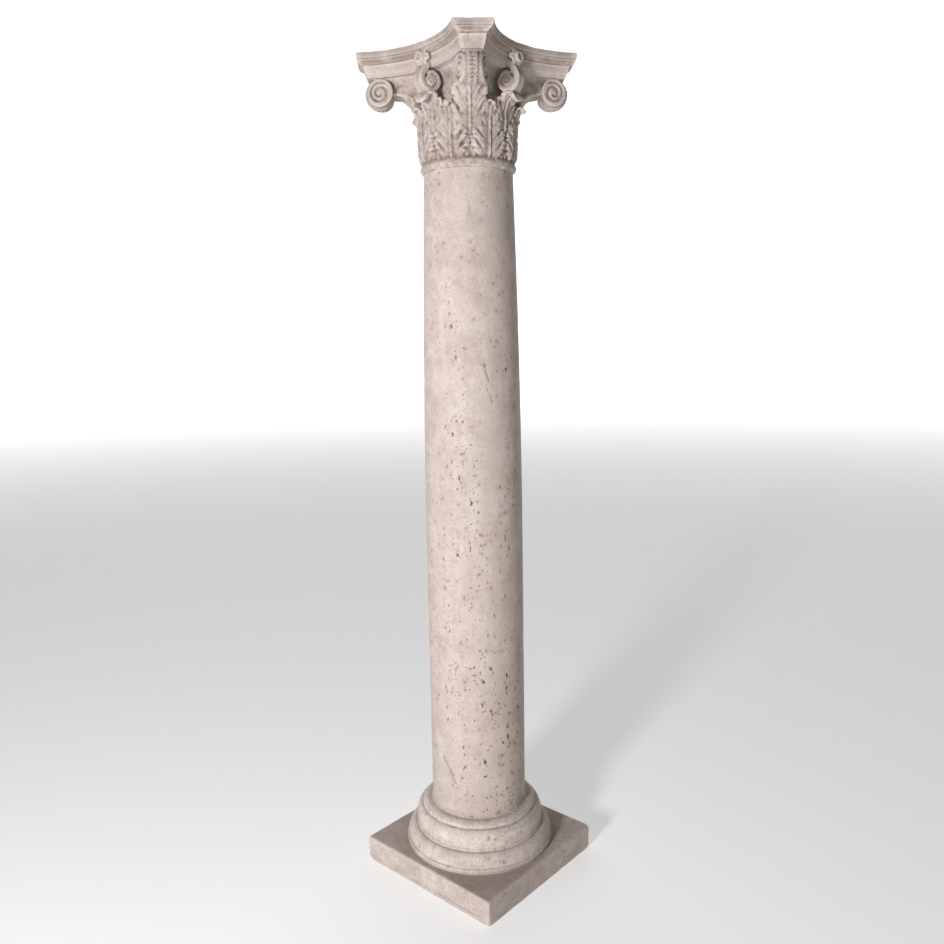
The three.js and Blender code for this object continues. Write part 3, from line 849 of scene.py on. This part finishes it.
def makeFleurons():
    f = fleuron
    spin = np.linspace(0, 2 * np.pi, 24, endpoint=False)[None, :]
    bud = np.array([[1, 0], [7, 2], [7.5, f["depth"] - 5], [5, f["depth"] - 1], [1, f["depth"] + 1]])
    heart = np.stack(np.broadcast_arrays(
        bud[:, 1:], bud[:, :1] * np.cos(spin), bud[:, :1] * np.sin(spin)), -1)
    flower = joined("fleurons", [
        makePetals("outerPetal", *f["outerPetals"]),
        makePetals("innerPetal", *f["innerPetals"]),
        ringBody("heart", heart),
    ])
    flower.data.transform(Matrix.Translation((f["reach"] * mm, 0, f["height"] * mm)))
    return around(flower, 4, 0)


abacus = {
    "height": 53, "midRadius": 165, "hornReach": 268, "hornHalfWidth": 46,
    "arcSteps": 40, "cutSteps": 11,
}


def hornedRing(height, midRadius, reach, halfWidth):
    out, across = (reach + halfWidth) / math.sqrt(2), (reach - halfWidth) / math.sqrt(2)
    centre = (out**2 + across**2 - midRadius**2) / (2 * (out - midRadius))
    radius = centre - midRadius
    along = math.asin(across / radius) * np.linspace(-1, 1, abacus["arcSteps"] + 1)
    side = np.stack([centre - radius * np.cos(along), radius * np.sin(along)], 1)
    cut = np.linspace(0, 1, abacus["cutSteps"] + 1)[1:-1, None]
    side = np.concatenate([side, side[-1] + cut * (np.array([side[-1][1], side[-1][0]]) - side[-1])])
    turns = [np.array([[c, s], [-s, c]]) for c, s in ((1, 0), (0, 1), (-1, 0), (0, -1))]
    flat = np.concatenate([side @ turn for turn in turns])
    return np.column_stack([flat, np.full(len(flat), height)])


def roundRing(height, radius):
    flat = hornedRing(0, abacus["midRadius"], abacus["hornReach"], abacus["hornHalfWidth"])[:, :2]
    flat = flat / np.linalg.norm(flat, axis=1, keepdims=True) * radius
    return np.column_stack([flat, np.full(len(flat), height)])


# the bell from the ring at its foot upwards as (height above the capital's foot, radius)
neck = [
    (0, 111.9), (1.5, 114.4), (4, 117), (8, 118.9), (12.5, 119.4), (17, 118.6), (21, 116.4),
    (23.4, 114), (25, 113.4), (29, 114), (38, 116), (128, 116), (146, 114), (171, 107),
]
# horns over the bell as (height above the foot, radius at the middle of a side, reach, half width)
hornLevels = [
    (186, 105, 178, 27), (190, 105, 196, 24), (206, 107, 206, 23), (224, 119, 230, 22), (243, 118, 230, 22),
]
# the abacus in the same way, with heights above its own underside
abacusLevels = [
    # flat band, leaning out a little
    (0, 140, 242, 24), (2, 141.5, 243, 24.6), (8, 145, 246, 27), (18, 147.5, 249.5, 29),
    (26.5, 149.6, 252.6, 30.6),
    # groove and hollow
    (27.6, 148.4, 251.6, 30), (28.6, 150.4, 255, 31.4), (29.4, 152.6, 259, 32.8), (31.5, 155, 261, 35),
    (34.5, 158.8, 263.6, 39), (38, 162, 266, 43),
    # groove and top band
    (39.2, 161.2, 265.4, 42.4), (40.4, 163.6, 266.8, 44.6), (46, 165, 268, 46), (51.6, 165, 268, 46),
    (53, 163.6, 266.6, 45.4),
]
skins = {
    "leaves": {"voxel": 0.0019, "rubRounds": 2, "roughness": 0.009, "triangles": 190000},
    "ornament": {"voxel": 0.0017, "rubRounds": 1, "roughness": 0.004, "triangles": 150000},
}


def grownTogether(name, things, skin):
    # shells fused to one skin, softened in patches, roughened and thinned where it is flat
    whole = joined(name, things)
    grown = whole.modifiers.new("grown", "REMESH")
    grown.mode = "VOXEL"
    grown.voxel_size = skin["voxel"]
    settled(whole)
    smoothShade(whole)
    runTree(whole, rubbedPatches, {"Scale": 13.0, "Level": 0.5, "Rounds": skin["rubRounds"]})
    runTree(whole, wornSurface, {"Scale": 105.0, "Amount": skin["roughness"] / 2, "Seed": 6.0})
    runTree(whole, wornSurface, {"Scale": 34.0, "Amount": skin["roughness"], "Seed": 2.0})
    storeRelief(whole, 34, 0.6)
    runTree(whole, wornSurface, {"Scale": 12.0, "Amount": 0.002, "Seed": 1.0, "Material": capitalStone})
    thinned = whole.modifiers.new("thinned", "DECIMATE")
    thinned.ratio = min(1, skin["triangles"] / (2 * len(whole.data.polygons)))
    settled(whole)
    whole.data.validate()  # thinning can leave a face doubled
    return whole


def makeLeaves():
    foot = capitalLow[2]
    rings = [roundRing(foot + rise, radius) for rise, radius in neck]
    rings += [hornedRing(foot + rise, *rest) for rise, *rest in hornLevels]
    leaves = [makeLeaf(name + "Leaf", kind) for name, kind in leafKinds.items()]
    return grownTogether("capitalLeaves", [ringBody("bell", rings), *leaves], skins["leaves"])


def makeOrnament():
    things = [makeVolutes(), makeScrolls(), makeFleurons()]
    return grownTogether("capitalOrnament", things, skins["ornament"])


def makeAbacus():
    underside = capitalHigh[2] - abacus["height"]
    rings = [hornedRing(underside + rise, *rest) for rise, *rest in abacusLevels]
    slab = ringBody("capitalAbacus", rings)
    smoothShade(slab, 35)
    storeRelief(slab, 5, 0.8)
    runTree(slab, wornSurface, {"Scale": 90.0, "Amount": 0.002, "Seed": 7.0})
    runTree(slab, wornSurface, {"Scale": 35.0, "Amount": 0.003, "Seed": 5.0, "Material": abacusStone})
    return slab


leavesPiece = makeLeaves()
ornamentPiece = makeOrnament()
abacusPiece = makeAbacus()
print("capital:", [len(piece.data.polygons) for piece in (leavesPiece, ornamentPiece, abacusPiece)], "faces")

for piece, node, slot in (
    (basePiece, "base", "base_stone"), (shaftPiece, "shaft", "shaft_stone"),
    (leavesPiece, "capital", "capital_stone"), (ornamentPiece, "capital", "capital_stone"),
    (abacusPiece, "capital", "capital_stone"),
):
    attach(piece, "root")
    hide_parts(node)


# Floor, light and camera

view = {
    "turn": 41.602, "distance": 2.1997, "height": 1.4434, "yaw": -0.103, "pitch": -8.829, "roll": -1.026,
    "lens": 31.938, "sensor": 36,
}
studio = {"sheetSize": 60, "floorDrop": 0.0005, "backdropAway": 20, "nearGlow": 0.36, "farGlow": 0.8,
          "fadeFrom": 4.0, "fadeTo": 19.0, "fill": 0.04, "surround": 1.0}


def spun(degrees, axis):
    return Matrix.Rotation(math.radians(degrees), 4, axis)


def plainSheet(name, place, glow):
    material = bpy.data.materials.new(name)
    material.use_nodes = True
    tree = material.node_tree
    shader = tree.nodes["Principled BSDF"]
    shader.inputs["Base Color"].default_value = (0.8, 0.8, 0.8, 1)
    shader.inputs["Roughness"].default_value = 0.9
    shader.inputs["Emission Color"].default_value = (1, 1, 1, 1)
    spot = addNode(tree, "ShaderNodeTexCoord").outputs["Object"]
    away = addNode(tree, "ShaderNodeVectorMath", {0: spot}, operation="LENGTH").outputs["Value"]
    fade = addNode(tree, "ShaderNodeMapRange", {
        "Value": away, "From Min": studio["fadeFrom"], "From Max": studio["fadeTo"],
        "To Min": glow, "To Max": studio["farGlow"],
    }, interpolation_type="SMOOTHSTEP")
    tree.links.new(fade.outputs[0], shader.inputs["Emission Strength"])
    bpy.ops.mesh.primitive_plane_add(size=studio["sheetSize"])
    sheet = bpy.context.object
    sheet.name = name
    sheet.matrix_world = place
    sheet.data.materials.append(material)


plainSheet("floor", Matrix.Translation((0, 0, -studio["floorDrop"])), studio["nearGlow"])
behind = Matrix.Translation((0, studio["backdropAway"], 0))
plainSheet("backdrop", spun(view["turn"], "Z") @ behind @ spun(90, "X"), studio["farGlow"])

world = bpy.data.worlds.new("studio")
world.use_nodes = True
air = world.node_tree
fill = air.nodes["Background"]
fill.inputs["Color"].default_value = (1, 1, 1, 1)
fill.inputs["Strength"].default_value = studio["fill"]
# the pale surround is seen but gives no light
surround = addNode(air, "ShaderNodeBackground", {"Color": (1, 1, 1, 1), "Strength": studio["surround"]})
seen = addNode(air, "ShaderNodeLightPath").outputs["Is Camera Ray"]
blend = addNode(air, "ShaderNodeMixShader", {0: seen, 1: fill.outputs[0], 2: surround.outputs[0]})
air.links.new(blend.outputs[0], air.nodes["World Output"].inputs["Surface"])
bpy.context.scene.world = world

lamp = {"turn": -29, "distance": 3.4, "height": 1.35, "aim": 1.15, "size": 0.5, "power": 105}
light = bpy.data.lights.new("key", "AREA")
light.shape = "DISK"
light.size = lamp["size"]
light.energy = lamp["power"]
holder = bpy.data.objects.new("key", light)
bpy.context.scene.collection.objects.link(holder)
tilt = math.degrees(math.atan2(lamp["aim"] - lamp["height"], lamp["distance"]))
holder.matrix_world = (spun(view["turn"] + lamp["turn"], "Z")
                       @ Matrix.Translation((0, -lamp["distance"], lamp["height"])) @ spun(90 + tilt, "X"))

lens = bpy.data.cameras.new("camera")
lens.sensor_width = view["sensor"]
lens.lens = view["lens"]
lens.clip_start = 0.05
camera = bpy.data.objects.new("camera", lens)
bpy.context.scene.collection.objects.link(camera)
camera.matrix_world = (spun(view["turn"], "Z") @ Matrix.Translation((0, -view["distance"], view["height"]))
                       @ spun(-view["yaw"], "Z") @ spun(90 + view["pitch"], "X") @ spun(view["roll"], "Z"))
bpy.context.scene.camera = camera
bpy.context.scene.view_settings.view_transform = "Standard"
print("floor, light and camera set")
